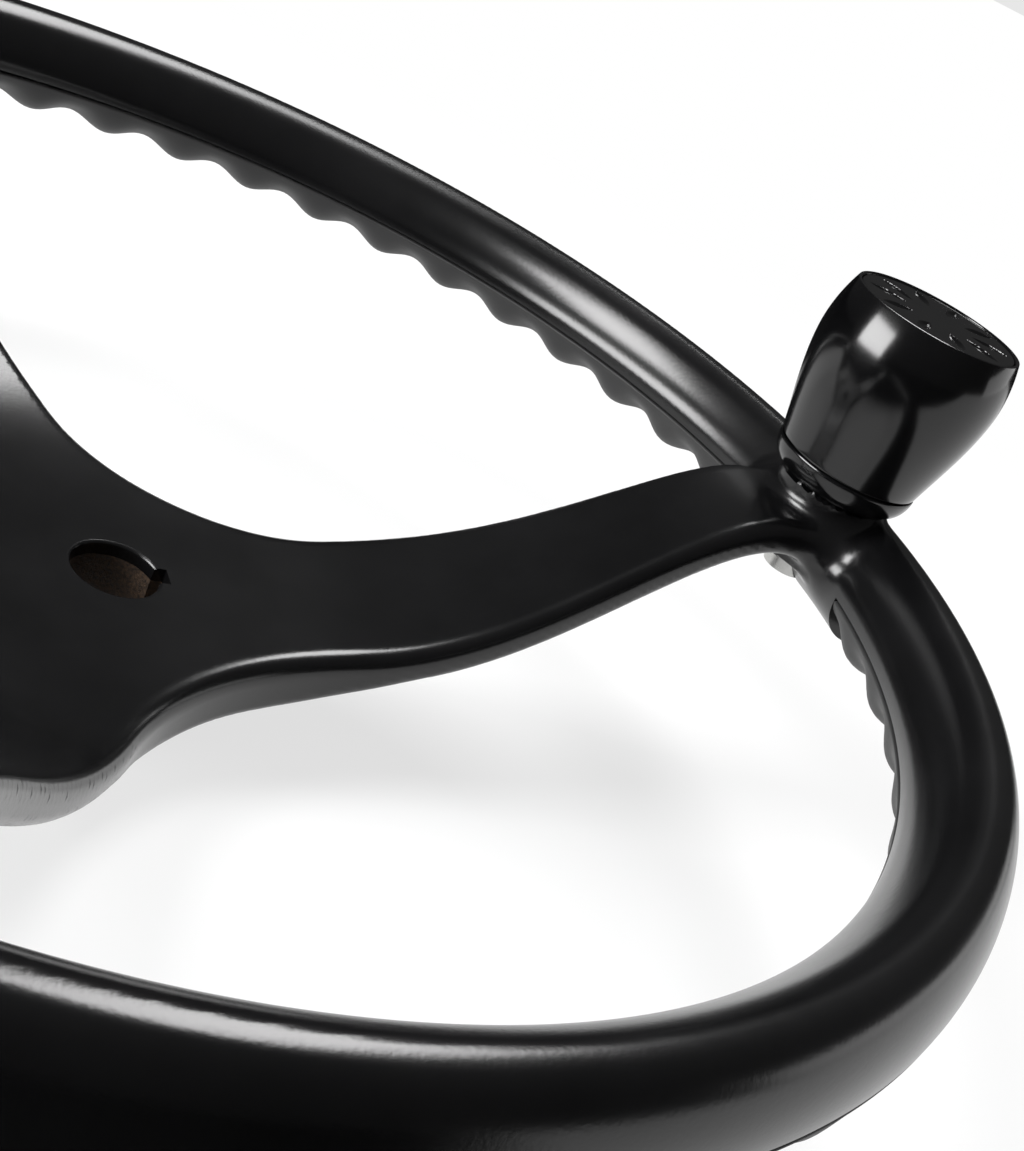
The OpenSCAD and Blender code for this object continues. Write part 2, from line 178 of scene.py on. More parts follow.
def web_top(r):
    return HUB_LEN + WEB_RISE * smooth01((np.maximum(r - SWEEP_START, 0) / (CREST - SWEEP_START)) ** SWEEP)


def spider_field(x, y, z):
    r = np.hypot(x, y)
    fold = np.abs((np.arctan2(y, x) + SPOKE_STEP / 2) % SPOKE_STEP - SPOKE_STEP / 2)
    along, across = r * np.cos(fold), r * np.sin(fold)
    t = np.clip((along - ROOT_END) / (TAPER_END - ROOT_END), 0, 1)
    half = ROOT_W + (TIP_W - ROOT_W) * smooth01(t)
    half_slope = 6 * t * (1 - t) * (TIP_W - ROOT_W) / (TAPER_END - ROOT_END)
    fillet = ROOT_FILLET - np.hypot(along - ROOT_END, across - ROOT_W - ROOT_FILLET)
    side = np.where(along > ROOT_END, (across - half) / np.sqrt(1 + half_slope ** 2), fillet)
    slope = (web_top(r + 0.5) - web_top(r - 0.5))
    steep = np.sqrt(1 + slope ** 2)
    thick = WEB_T + (SPOKE_T - WEB_T) * smooth01((r - 35) / 30)
    front = (z - web_top(r)) / steep
    body = round_meet(round_meet(side, front, FRONT_EDGE), -front - thick, REAR_EDGE)
    return round_meet(body, r - WEB_END, 2.0)


# %% The whole casting
TIP_BLEND, PAD_BLEND, BOSS_BLEND = 9.0, 3.0, 5.0
PAD_R, BOSS_R, BOSS_SINK = 12.6, 20.0, 8.5


def casting_field(p):
    x, y, z = p[:, 0], p[:, 1], p[:, 2]
    r = np.hypot(x, y)
    field = ball_union(rim_field(r - CREST_R, z - RIM_Z), spider_field(x, y, z), TIP_BLEND)
    pad = disc_field(x - KNOB_R, y, z, PAD_R, RIM_Z - 4, PAD_Z, 0.5)
    boss = disc_field(x, y, z, BOSS_R, 0, HUB_LEN - BOSS_SINK, 0.8)
    return ball_union(ball_union(field, pad, PAD_BLEND), boss, BOSS_BLEND)


# %% [markdown]
# ## From the field to a mesh
# Surface nets puts one point in every cell that the surface passes through and joins neighbours with quads.
# The points are then relaxed and pulled back onto the exact surface a few times, so the mesh is even and the
# reflections run smoothly over it.

# %% Surface nets
GRID = 1.25


def sample_field(field, low, high, step):
    axes = [np.arange(a, b + step, step) for a, b in zip(low, high)]
    gx, gy = np.meshgrid(axes[0], axes[1], indexing="ij")
    grid = np.empty([len(a) for a in axes], dtype=np.float32)
    for k, z in enumerate(axes[2]):
        points = np.stack([gx.ravel(), gy.ravel(), np.full(gx.size, z)], axis=1)
        grid[:, :, k] = field(points).reshape(gx.shape)
    return grid


def surface_nets(grid, low, step):
    """Points and quads of the surface where the sampled field is zero."""
    inside = grid < 0
    shape = np.array(grid.shape)
    cells, points, quads, flips = [], [], [], []
    for axis in range(3):
        here = [slice(None)] * 3
        there = [slice(None)] * 3
        here[axis], there[axis] = slice(0, -1), slice(1, None)
        cross = inside[tuple(here)] != inside[tuple(there)]
        at = np.argwhere(cross)
        a, b = (axis + 1) % 3, (axis + 2) % 3
        at = at[(at[:, a] > 0) & (at[:, b] > 0)]
        ahead = at.copy()
        ahead[:, axis] += 1
        f0, f1 = grid[tuple(at.T)], grid[tuple(ahead.T)]
        point = at.astype(float)
        point[:, axis] += f0 / (f0 - f1)
        ring = []
        for da, db in ((0, 0), (1, 0), (1, 1), (0, 1)):
            cell = at.copy()
            cell[:, a] -= da
            cell[:, b] -= db
            ring.append(np.ravel_multi_index(tuple(cell.T), tuple(shape)))
            cells.append(ring[-1])
            points.append(point)
        quads.append(np.stack(ring, axis=1))
        flips.append(f0 > 0)
    cells, points = np.concatenate(cells), np.concatenate(points)
    used, index = np.unique(cells, return_inverse=True)
    count = np.bincount(index)
    verts = np.stack([np.bincount(index, points[:, i]) / count for i in range(3)], axis=1)
    faces = np.searchsorted(used, np.concatenate(quads))
    flip = np.concatenate(flips)
    faces[flip] = faces[flip][:, ::-1]
    return np.array(low) + verts * step, faces


def gradient(field, points, e=0.02):
    parts = []
    for axis in range(3):
        shift = np.zeros(3)
        shift[axis] = e
        parts.append((field(points + shift) - field(points - shift)) / (2 * e))
    return np.stack(parts, axis=1)


def settle(field, verts, faces, rounds=3):
    """Evens the mesh out and pulls its points back onto the surface."""
    edges = np.concatenate([faces[:, [i, (i + 1) % 4]] for i in range(4)])
    degree = np.maximum(np.bincount(edges[:, 0], minlength=len(verts)), 1)
    for _ in range(rounds):
        mean = np.stack([np.bincount(edges[:, 0], verts[edges[:, 1], i], len(verts)) / degree
                         for i in range(3)], axis=1)
        verts = 0.4 * verts + 0.6 * mean
        for _ in range(2):
            slope = gradient(field, verts)
            move = field(verts)[:, None] * slope / np.maximum((slope ** 2).sum(1), 0.1)[:, None]
            verts = verts - np.clip(move, -0.6, 0.6)
    return verts


# %% Mesh helpers
def new_piece(name, verts, faces, body, node=None):
    """A mesh object from points in millimetres, riding on a body when one is given."""
    mesh = bpy.data.meshes.new(name)
    mesh.from_pydata((np.asarray(verts) * MM).tolist(), [], [list(map(int, f)) for f in faces])
    mesh.validate()
    piece = bpy.data.objects.new(name, mesh)
    bpy.context.collection.objects.link(piece)
    if body:
        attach(piece, body)
    if node:
        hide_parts(node)
    return piece


def smooth_shade(piece, angle=35):
    piece.data.polygons.foreach_set("use_smooth", [True] * len(piece.data.polygons))
    piece.data.set_sharp_from_angle(angle=math.radians(angle))


def carve(piece, cutter):
    """Cuts the cutter's room out of the piece and deletes the cutter."""
    cut = piece.modifiers.new("cut", "BOOLEAN")
    cut.operation = "DIFFERENCE"
    cut.solver = "EXACT"
    cut.object = cutter
    graph = bpy.context.evaluated_depsgraph_get()
    done = bpy.data.meshes.new_from_object(piece.evaluated_get(graph))
    piece.modifiers.clear()
    old = piece.data
    piece.data = done
    bpy.data.meshes.remove(old)
    bpy.data.objects.remove(cutter)


def lathe(profile, centre=(0.0, 0.0), steps=128):
    """Points and faces of a closed outline of (radius, height) turned about a vertical axis."""
    outline = np.array(profile, dtype=float)
    turn = np.arange(steps) * 2 * math.pi / steps
    x = centre[0] + np.outer(np.cos(turn), outline[:, 0])
    y = centre[1] + np.outer(np.sin(turn), outline[:, 0])
    z = np.tile(outline[:, 1], (steps, 1))
    verts = np.stack([x, y, z], axis=2).reshape(-1, 3)
    n = len(outline)
    faces = []
    for i in range(steps):
        j = (i + 1) % steps
        for k in range(n):
            m = (k + 1) % n
            faces.append((i * n + k, j * n + k, j * n + m, i * n + m))
    return verts, faces


def arc_sweep(outline, start, end, steps):
    """Points and faces of a closed outline of (radius, height) swept from one angle to another."""
    outline = np.array(outline, dtype=float)
    n = len(outline)
    angles = np.linspace(start, end, steps + 1)
    verts = [(r * math.cos(a), r * math.sin(a), z) for a in angles for r, z in outline]
    faces = [(i * n + k, (i + 1) * n + k, (i + 1) * n + (k + 1) % n, i * n + (k + 1) % n)
             for i in range(steps) for k in range(n)]
    faces.append(tuple(range(n)))
    faces.append(tuple(steps * n + k for k in reversed(range(n))))
    return verts, faces


# %% Build the casting
low = np.array([-rim_high[0] - 3, -rim_high[0] - 3, -3.0])
high = np.array([rim_high[0] + 3, rim_high[0] + 3, PAD_Z + 3])
grid = sample_field(casting_field, low, high, GRID)
verts, faces = surface_nets(grid, low, GRID)
verts = settle(casting_field, verts, faces)
print("casting:", len(verts), "points, worst miss", float(np.abs(casting_field(verts)).max()), "mm")
casting = new_piece("casting_surface", verts, faces, WHEEL, "wheel_casting")

# %% [markdown]
# ## Machined and moulded cuts
# What is machined has crisp edges, so it is cut into the cast surface with booleans: the room for the grips
# under the seam, the bore with its keyway and its broken edge, and the counterbore for the knob's bolt.

# %% Cut the casting
TONGUE_IN, TONGUE_OUT, TONGUE_H = 7.5, 5.0, 3.65
SEAM_BREAK = 0.35
BORE_R = 8.65
KEY_W, KEY_REACH = 4.76, 10.6


def wall_at(z, inner):
    """Where the rim's wall is at height z above its mid-plane, from the crest line."""
    near, far = 0.0, -20.0 if inner else 20.0
    for _ in range(40):
        mid = (near + far) / 2
        if section_level(np.array([mid]), np.array([z]))[0] < 0:
            near = mid
        else:
            far = mid
    return near


SEAM_IN, SEAM_OUT = wall_at(-SEAM_DROP, True), wall_at(-SEAM_DROP, False)
tongue_z = SEAM_Z - TONGUE_H
room = [(-30, SEAM_Z + SEAM_BREAK), (SEAM_IN, SEAM_Z + SEAM_BREAK), (SEAM_IN + SEAM_BREAK, SEAM_Z),
        (-TONGUE_IN, SEAM_Z), (-TONGUE_IN, tongue_z), (TONGUE_OUT, tongue_z), (TONGUE_OUT, SEAM_Z),
        (SEAM_OUT - SEAM_BREAK, SEAM_Z), (SEAM_OUT, SEAM_Z + SEAM_BREAK), (30, SEAM_Z + SEAM_BREAK),
        (30, SEAM_Z - 40), (-30, SEAM_Z - 40)]
room = [(CREST_R + x, z) for x, z in reversed(room)]
for k in range(3):
    start = k * SPOKE_STEP + GRIP_GAP
    carve(casting, new_piece("cutter", *arc_sweep(room, start, start + SPOKE_STEP - 2 * GRIP_GAP, 140), None))


def plug(r, z_low, z_high, centre=(0.0, 0.0), flare=0.0):
    """A turned cutter, with a flare at its top that breaks the hole's edge."""
    profile = [(0.0, z_low), (r, z_low)]
    if flare:
        profile += [(r + flare * (1 - math.cos(a)), z_high - flare * (1 - math.sin(a)))
                    for a in np.linspace(0, math.pi / 2, 5)]
        profile += [(r + flare, z_high + 2), (0.0, z_high + 2)]
    else:
        profile += [(r, z_high), (0.0, z_high)]
    n = len(profile)
    steps = 96
    verts, faces = [(centre[0], centre[1], profile[0][1]), (centre[0], centre[1], profile[-1][1])], []
    ring = profile[1:-1]
    for i in range(steps):
        a = i * 2 * math.pi / steps
        verts += [(centre[0] + p * math.cos(a), centre[1] + p * math.sin(a), z) for p, z in ring]
    m = len(ring)
    for i in range(steps):
        j = (i + 1) % steps
        faces.append((0, 2 + j * m, 2 + i * m))
        faces.append((1, 2 + i * m + m - 1, 2 + j * m + m - 1))
        faces += [(2 + i * m + k, 2 + j * m + k, 2 + j * m + k + 1, 2 + i * m + k + 1) for k in range(m - 1)]
    return new_piece("cutter", verts, faces, None)


def block(low, high):
    corners = [(x, y, z) for x in (low[0], high[0]) for y in (low[1], high[1]) for z in (low[2], high[2])]
    faces = [(0, 1, 3, 2), (4, 6, 7, 5), (0, 4, 5, 1), (2, 3, 7, 6), (0, 2, 6, 4), (1, 5, 7, 3)]
    return new_piece("cutter", corners, faces, None)


carve(casting, plug(BORE_R, -2, HUB_LEN, flare=0.8))
carve(casting, block((0, -KEY_W / 2, -2), (KEY_REACH, KEY_W / 2, HUB_LEN + 2)))
carve(casting, plug(bush_high[0] + 0.03, -2, bush_high[2]))
carve(casting, plug(5.8, RIM_Z - 30, PAD_Z - 15.2, centre=(KNOB_R, 0)))
print("casting after cuts:", len(casting.data.polygons), "faces")

# %% [markdown]
# A boolean leaves thin triangles beside its cuts, and their shading would ripple. The field knows the true
# direction of the surface everywhere, so each smooth corner takes its normal from the field.

# %% True normals on the casting
def true_normals(piece, field):
    mesh = piece.data
    mesh.polygons.foreach_set("use_smooth", [True] * len(mesh.polygons))
    points = np.empty(len(mesh.vertices) * 3)
    mesh.vertices.foreach_get("co", points)
    points = points.reshape(-1, 3) / MM
    slope = gradient(field, points)
    slope /= np.maximum(np.linalg.norm(slope, axis=1), 1e-6)[:, None]
    on_surface = np.abs(field(points)) < 0.02
    corner = np.empty(len(mesh.loops), dtype=np.int32)
    mesh.loops.foreach_get("vertex_index", corner)
    face_normal = np.empty(len(mesh.polygons) * 3)
    mesh.polygons.foreach_get("normal", face_normal)
    total = np.empty(len(mesh.polygons), dtype=np.int32)
    mesh.polygons.foreach_get("loop_total", total)
    flat = np.repeat(face_normal.reshape(-1, 3), total, axis=0)
    cast = on_surface[corner] & ((slope[corner] * flat).sum(1) > 0.75)
    mesh.normals_split_custom_set(np.where(cast[:, None], slope[corner], flat).tolist())
    print(piece.name, "corners on the cast surface:", int(cast.sum()), "of", len(corner))


true_normals(casting, casting_field)
casting.shadow_terminator_geometry_offset = 0.2

# %% [markdown]
# ## Soft grips
# Each grip closes the rim from behind and carries a row of waves for the fingers. The section is swept
# around the rim, and each wave pulls the lower part of the section inward, fading to nothing at the seam.

# %% Build the grips
WAVES = 14
WAVE_DEPTH = 2.8
WAVE_CREST = 0.1
GRIP_EDGE = 0.45


def grip_outline(wave):
    """The grip's closed section, from (radius, height) points. wave runs from 0 on a crest to 1 in a hollow."""
    top = -SEAM_DROP - SEAM_GAP
    inner, outer = wall_at(top, True), wall_at(top, False)
    start = math.asin(min(1, (-top / LOW_H) ** (SQUARENESS / 2)))
    points = []
    for a in np.linspace(math.pi + start, 2 * math.pi - start, 44):
        c, s = math.cos(a), math.sin(a)
        reach = REACH_OUT if c > 0 else REACH_IN
        x = math.copysign(abs(c) ** (2 / SQUARENESS), c) * reach
        z = -abs(s) ** (2 / SQUARENESS) * LOW_H
        deep = float(smooth01(np.array((top - z) / (LOW_H + top) * 1.15)))
        length = math.hypot(x, z)
        pull = (WAVE_DEPTH * wave - WAVE_CREST) * deep
        points.append((x - pull * x / length, z - pull * z / length))
    edge = GRIP_EDGE
    points[0] = (inner + 0.02, top - edge)
    points[-1] = (outer - 0.02, top - edge)
    lip_out = [(outer - edge * (1 - math.cos(t)), top - edge * (1 - math.sin(t))) for t in (0.5, 1.0, 1.57)]
    lip_in = [(inner + edge * (1 - math.cos(t)), top - edge * (1 - math.sin(t))) for t in (1.57, 1.0, 0.5)]
    gap = 0.15
    floor = -SEAM_DROP - TONGUE_H
    channel = [(TONGUE_OUT + gap, top), (TONGUE_OUT + gap, floor), (-TONGUE_IN - gap, floor),
               (-TONGUE_IN - gap, top)]
    loop = points + lip_out + channel + lip_in
    return [(CREST_R + x, RIM_Z + z) for x, z in loop]


def build_grip(k, steps_per_wave=16):
    start = k * SPOKE_STEP + GRIP_GAP + 0.0012
    end = (k + 1) * SPOKE_STEP - GRIP_GAP - 0.0012
    steps = WAVES * steps_per_wave
    verts = []
    for i in range(steps + 1):
        t = i / steps
        a = start + (end - start) * t
        wave = 0.5 - 0.5 * math.cos(2 * math.pi * (t * WAVES + 0.5))
        verts += [(r * math.cos(a), r * math.sin(a), z) for r, z in grip_outline(wave)]
    n = len(verts) // (steps + 1)
    faces = [(i * n + j, (i + 1) * n + j, (i + 1) * n + (j + 1) % n, i * n + (j + 1) % n)
             for i in range(steps) for j in range(n)]
    faces.append(tuple(range(n)))
    faces.append(tuple(steps * n + j for j in reversed(range(n))))
    grip = new_piece(f"soft_grip_{k + 1}", verts, faces, WHEEL, f"grip_{k + 1}")
    smooth_shade(grip, 40)
    return grip


grips = [build_grip(k) for k in range(3)]
print("grip points:", len(grips[0].data.vertices))

# %% [markdown]
# ## The knob
# The knob is turned: a cone that swells to a soft shoulder and tucks in to a thin lip around the cap. A
# lathe of a fine outline gives reflections without facets. The bowl under it is turned the same way.

# %% Knob body and base bowl
KNOB_AXIS = (KNOB_R, 0.0)
BODY_H = body_high[2] - body_low[2]
BODY_R = (body_high[0] - body_low[0]) / 2
FOOT_R = (base_high[0] - base_low[0]) / 2
LIP_R = 19.5
SHOULDER_H = 24.0
BORE_BUSH_R = 8.03
WELL_R = 13.0
CAP_R = 18.5
CAP_SEAT = cap_high[2] - 2.0


def curve(p0, p1, p2, p3, count):
    """Points along a Bezier curve, without its first point."""
    out = []
    for i in range(1, count + 1):
        t = i / count
        w = ((1 - t) ** 3, 3 * t * (1 - t) ** 2, 3 * t * t * (1 - t), t ** 3)
        out.append(tuple(sum(w[j] * p[c] for j, p in enumerate((p0, p1, p2, p3))) for c in (0, 1)))
    return out


foot, top = body_low[2], body_high[2]
shoulder = (BODY_R, foot + SHOULDER_H)
body_outline = [(10.2, foot), (FOOT_R - 0.35, foot), (FOOT_R - 0.1, foot + 0.1), (FOOT_R, foot + 0.35)]
body_outline += curve((FOOT_R, foot + 0.35), (FOOT_R + 1.8, foot + 8), (BODY_R - 0.3, foot + 16),
                      shoulder, 24)
body_outline += curve(shoulder, (BODY_R + 0.1, foot + 28.5), (LIP_R + 1.25, top - 4.2),
                      (LIP_R, top - 0.45), 24)
body_outline += [(LIP_R - 0.12, top - 0.12), (LIP_R - 0.4, top), (CAP_R + 0.35, top), (CAP_R + 0.1, top - 0.2),
                 (CAP_R, top - 0.5), (CAP_R, CAP_SEAT), (WELL_R, CAP_SEAT)]
body_outline += [(WELL_R, foot + 27.4), (BORE_BUSH_R, foot + 27.4), (BORE_BUSH_R, foot + 2.8),
                 (10.2, foot + 2.8)]
knob_shell = new_piece("knob_shell", *lathe(body_outline, KNOB_AXIS, 160), KNOB, "knob_body")
smooth_shade(knob_shell, 38)

bowl_outline = [(5.05, PAD_Z), (PAD_R - 0.8, PAD_Z)]
bowl_outline += curve((PAD_R - 0.8, PAD_Z), (PAD_R + 2.2, PAD_Z + 0.2), (FOOT_R - 0.1, PAD_Z + 2.6),
                      (FOOT_R, PART_Z - 0.35), 20)
bowl_outline += [(FOOT_R - 0.12, PART_Z - 0.1), (FOOT_R - 0.4, PART_Z), (15.6, PART_Z), (15.6, PART_Z - 0.9),
                 (13.9, PART_Z - 0.9), (13.9, PART_Z), (12.2, PART_Z), (12.2, PART_Z - 3.2),
                 (5.05, PART_Z - 3.2)]
knob_bowl = new_piece("knob_bowl", *lathe(bowl_outline, KNOB_AXIS, 160), WHEEL, "knob_base")
smooth_shade(knob_bowl, 38)

# %% [markdown]
# The cap is a flat disc with a ring of leaf-shaped dimples for the fingertip, and its centre is left bare.
# A polar grid follows the dimples closely enough for their edges to catch the light.

# %% Knob cap
LEAVES = 10
LEAF_R, LEAF_HALF, LEAF_W, LEAF_DEPTH = 12.3, 4.2, 1.5, 0.8


def cap_height(r, a):
    step = 2 * math.pi / LEAVES
    off = (a + step / 2) % step - step / 2
    along, across = r * math.cos(off) - LEAF_R, r * math.sin(off)
    if abs(along) >= LEAF_HALF:
        return 0.0
    half = LEAF_W * (1 - (along / LEAF_HALF) ** 2)
    inside = 1 - (across / max(half, 1e-3)) ** 2
    return -LEAF_DEPTH * max(0.0, inside) * (1 - (along / LEAF_HALF) ** 2) ** 0.5


def build_cap(rings=72, turns=400):
    r_cap, z_top, edge = CAP_R - 0.12, cap_high[2], 0.3
    radii = [r_cap - edge - (r_cap - edge - 0.6) * (1 - i / rings) for i in range(rings + 1)]
    verts = [(KNOB_R, 0, z_top)]
    for r in radii:
        verts += [(KNOB_R + r * math.cos(a), r * math.sin(a), z_top + cap_height(r, a))
                  for a in (i * 2 * math.pi / turns for i in range(turns))]
    tail = [(r_cap - edge * (1 - math.sin(t)), z_top - edge * (1 - math.cos(t))) for t in (0.5, 1.0, 1.57)]
    tail += [(r_cap, CAP_SEAT), (12.8, CAP_SEAT), (12.8, CAP_SEAT - 3), (10.5, CAP_SEAT - 3), (10.5, CAP_SEAT)]
    for r, z in tail:
        verts += [(KNOB_R + r * math.cos(a), r * math.sin(a), z)
                  for a in (i * 2 * math.pi / turns for i in range(turns))]
    verts.append((KNOB_R, 0, CAP_SEAT))
    faces = [(0, 1 + i, 1 + (i + 1) % turns) for i in range(turns)]
    total = len(radii) + len(tail)
    for k in range(total - 1):
        a0, b0 = 1 + k * turns, 1 + (k + 1) * turns
        faces += [(a0 + i, b0 + i, b0 + (i + 1) % turns, a0 + (i + 1) % turns) for i in range(turns)]
    last = 1 + (total - 1) * turns
    faces += [(last + i, len(verts) - 1, last + (i + 1) % turns) for i in range(turns)]
    cap = new_piece("knob_cap_disc", verts, faces, KNOB, "knob_cap")
    smooth_shade(cap, 30)
    return cap


knob_cap = build_cap()

# %% [markdown]
# ## Finishes
# Powder coat is never mirror flat: it flows into a fine skin like orange peel, which breaks up the edge of
# every reflection. That skin, at other scales, also makes the grain of rubber and of cast metal, so it is a
# node group with its own inputs.

# %% Node groups
def group_sockets(group, inputs, outputs):
    for name, kind, value in inputs:
        made = group.interface.new_socket(name=name, in_out="INPUT", socket_type=kind)
        if value is not None:
            made.default_value = value
    for name, kind in outputs:
        group.interface.new_socket(name=name, in_out="OUTPUT", socket_type=kind)
    return group.nodes.new("NodeGroupInput"), group.nodes.new("NodeGroupOutput")


def make_skin_group():
    """Fine relief of two sizes: a skin such as orange peel, and finer grain on it."""
    group = bpy.data.node_groups.new("fine_skin", "ShaderNodeTree")
    given, out = group_sockets(
        group,
        [("Cell per m", "NodeSocketFloat", 1500.0), ("Depth mm", "NodeSocketFloat", 0.01),
         ("Grain", "NodeSocketFloat", 0.3)],
        [("Normal", "NodeSocketVector"), ("Height", "NodeSocketFloat")])
    nodes, links = group.nodes, group.links
    place = nodes.new("ShaderNodeTexCoord")
    skin = nodes.new("ShaderNodeTexNoise")
    skin.inputs["Detail"].default_value = 1.5
    links.new(place.outputs["Object"], skin.inputs["Vector"])
    links.new(given.outputs["Cell per m"], skin.inputs["Scale"])
    finer = nodes.new("ShaderNodeMath")
    finer.operation = "MULTIPLY"
    finer.inputs[1].default_value = 3.7
    links.new(given.outputs["Cell per m"], finer.inputs[0])
    grain = nodes.new("ShaderNodeTexNoise")
    grain.inputs["Detail"].default_value = 2.0
    links.new(place.outputs["Object"], grain.inputs["Vector"])
    links.new(finer.outputs[0], grain.inputs["Scale"])
    add = nodes.new("ShaderNodeMath")
    add.operation = "MULTIPLY_ADD"
    links.new(grain.outputs["Fac"], add.inputs[0])
    links.new(given.outputs["Grain"], add.inputs[1])
    links.new(skin.outputs["Fac"], add.inputs[2])
    depth = nodes.new("ShaderNodeMath")
    depth.operation = "MULTIPLY"
    depth.inputs[1].default_value = MM
    links.new(given.outputs["Depth mm"], depth.inputs[0])
    bump = nodes.new("ShaderNodeBump")
    links.new(depth.outputs[0], bump.inputs["Distance"])
    links.new(add.outputs[0], bump.inputs["Height"])
    links.new(bump.outputs["Normal"], out.inputs["Normal"])
    links.new(add.outputs[0], out.inputs["Height"])
    return group


def make_tone_group():
    """Slow change of tone and roughness over a surface, as dust film and handling leave."""
    group = bpy.data.node_groups.new("slow_tone", "ShaderNodeTree")
    given, out = group_sockets(
        group,
        [("Patch per m", "NodeSocketFloat", 25.0), ("Dark", "NodeSocketColor", None),
         ("Light", "NodeSocketColor", None), ("Rough low", "NodeSocketFloat", 0.3),
         ("Rough high", "NodeSocketFloat", 0.4)],
        [("Color", "NodeSocketColor"), ("Roughness", "NodeSocketFloat")])
    nodes, links = group.nodes, group.links
    place = nodes.new("ShaderNodeTexCoord")
    noise = nodes.new("ShaderNodeTexNoise")
    noise.inputs["Detail"].default_value = 5.0
    noise.inputs["Roughness"].default_value = 0.6
    links.new(place.outputs["Object"], noise.inputs["Vector"])
    links.new(given.outputs["Patch per m"], noise.inputs["Scale"])
    spread = nodes.new("ShaderNodeMapRange")
    spread.inputs["From Min"].default_value = 0.35
    spread.inputs["From Max"].default_value = 0.65
    links.new(noise.outputs["Fac"], spread.inputs["Value"])
    mix = nodes.new("ShaderNodeMix")
    mix.data_type = "RGBA"
    links.new(spread.outputs["Result"], mix.inputs["Factor"])
    links.new(given.outputs["Dark"], mix.inputs["A"])
    links.new(given.outputs["Light"], mix.inputs["B"])
    rough = nodes.new("ShaderNodeMapRange")
    rough.inputs["From Min"].default_value = 0.3
    rough.inputs["From Max"].default_value = 0.7
    links.new(noise.outputs["Fac"], rough.inputs["Value"])
    links.new(given.outputs["Rough low"], rough.inputs["To Min"])
    links.new(given.outputs["Rough high"], rough.inputs["To Max"])
    links.new(mix.outputs["Result"], out.inputs["Color"])
    links.new(rough.outputs["Result"], out.inputs["Roughness"])
    return group


SKIN = make_skin_group()
TONE = make_tone_group()


# %% Materials
def finish_material(name, dark, light, rough, cell, depth, grain=0.3, patch=25.0, metallic=0.0,
                    coat=0.0, coat_rough=0.05, specular=0.5, sheen=0.0):
    """A surface with the two groups in it; the plain numbers sit on the shader's own sockets."""
    material = bpy.data.materials.new(name)
    material.use_nodes = True
    nodes, links = material.node_tree.nodes, material.node_tree.links
    shader = nodes["Principled BSDF"]
    skin = nodes.new("ShaderNodeGroup")
    skin.node_tree = SKIN
    skin.inputs["Cell per m"].default_value = cell
    skin.inputs["Depth mm"].default_value = depth
    skin.inputs["Grain"].default_value = grain
    tone = nodes.new("ShaderNodeGroup")
    tone.node_tree = TONE
    tone.inputs["Patch per m"].default_value = patch
    tone.inputs["Dark"].default_value = (*dark, 1)
    tone.inputs["Light"].default_value = (*light, 1)
    tone.inputs["Rough low"].default_value = rough[0]
    tone.inputs["Rough high"].default_value = rough[1]
    links.new(tone.outputs["Color"], shader.inputs["Base Color"])
    links.new(tone.outputs["Roughness"], shader.inputs["Roughness"])
    links.new(skin.outputs["Normal"], shader.inputs["Normal"])
    shader.inputs["Metallic"].default_value = metallic
    shader.inputs["Coat Weight"].default_value = coat
    shader.inputs["Coat Roughness"].default_value = coat_rough
    shader.inputs["Specular IOR Level"].default_value = specular
    shader.inputs["Sheen Weight"].default_value = sheen
    return material


POWDER = finish_material("powder_coat", (0.002, 0.002, 0.0022), (0.0035, 0.0035, 0.0038), (0.19, 0.24),
                         cell=1500, depth=0.014, grain=0.3)
RUBBER = finish_material("soft_rubber", (0.012, 0.012, 0.0125), (0.02, 0.02, 0.02), (0.50, 0.65),
                         cell=2600, depth=0.03, grain=0.5, patch=60, sheen=0.06, specular=0.4)
GLOSS = finish_material("gloss_black", (0.0015, 0.0015, 0.0017), (0.0025, 0.0025, 0.0027), (0.12, 0.17),
                        cell=420, depth=0.004, grain=0.1, patch=40)
BARE = finish_material("bare_brown_metal", (0.010, 0.006, 0.0035), (0.075, 0.045, 0.026), (0.5, 0.8),
                       cell=1300, depth=0.2, grain=0.8, patch=1500, metallic=0.4)
STEEL = finish_material("turned_steel", (0.45, 0.45, 0.44), (0.6, 0.6, 0.58), (0.22, 0.34),
                        cell=900, depth=0.01, patch=120, metallic=1.0)
BRONZE = finish_material("bearing_bronze", (0.35, 0.21, 0.09), (0.52, 0.34, 0.16), (0.35, 0.5),
                         cell=1800, depth=0.03, patch=150, metallic=1.0)
NYLON = finish_material("natural_nylon", (0.45, 0.44, 0.39), (0.58, 0.57, 0.51), (0.45, 0.6),
                        cell=900, depth=0.01, patch=80)
SEAL = finish_material("seal_rubber", (0.012, 0.012, 0.012), (0.02, 0.02, 0.02), (0.5, 0.65),
                       cell=1500, depth=0.01, patch=80)

# %% Put the finishes on
def dress(piece, material):
    piece.data.materials.clear()
    piece.data.materials.append(material)


dress(casting, POWDER)
for grip in grips:
    dress(grip, RUBBER)
dress(knob_shell, GLOSS)
dress(knob_bowl, GLOSS)
dress(knob_cap, GLOSS)
CAD_FINISH = {
    BARE: ["hub_bush"],
    STEEL: ["base_dowel", "knob_spindle", "knob_bolt", "bolt_lock_washer", "wave_washer", "keeper_washer",
            "keeper_screw"],
    BRONZE: ["lower_bush", "upper_bush"],
    NYLON: ["grip_strip_1", "grip_strip_2", "grip_strip_3", "thrust_washer"],
    SEAL: ["dust_seal", "cap_o_ring"],
}
for material, names in CAD_FINISH.items():
    for name in names:
        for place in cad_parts[name].material_slots:
            place.material = material
print("materials:", len(bpy.data.materials))

# %% [markdown]
# ## Floor, light and camera
# The wheel hangs on its hub over a pale floor, as on a display stand. A black part shows only what it
# reflects, so the light is a few soft boxes in a dim room with a bright floor and a bright low horizon.

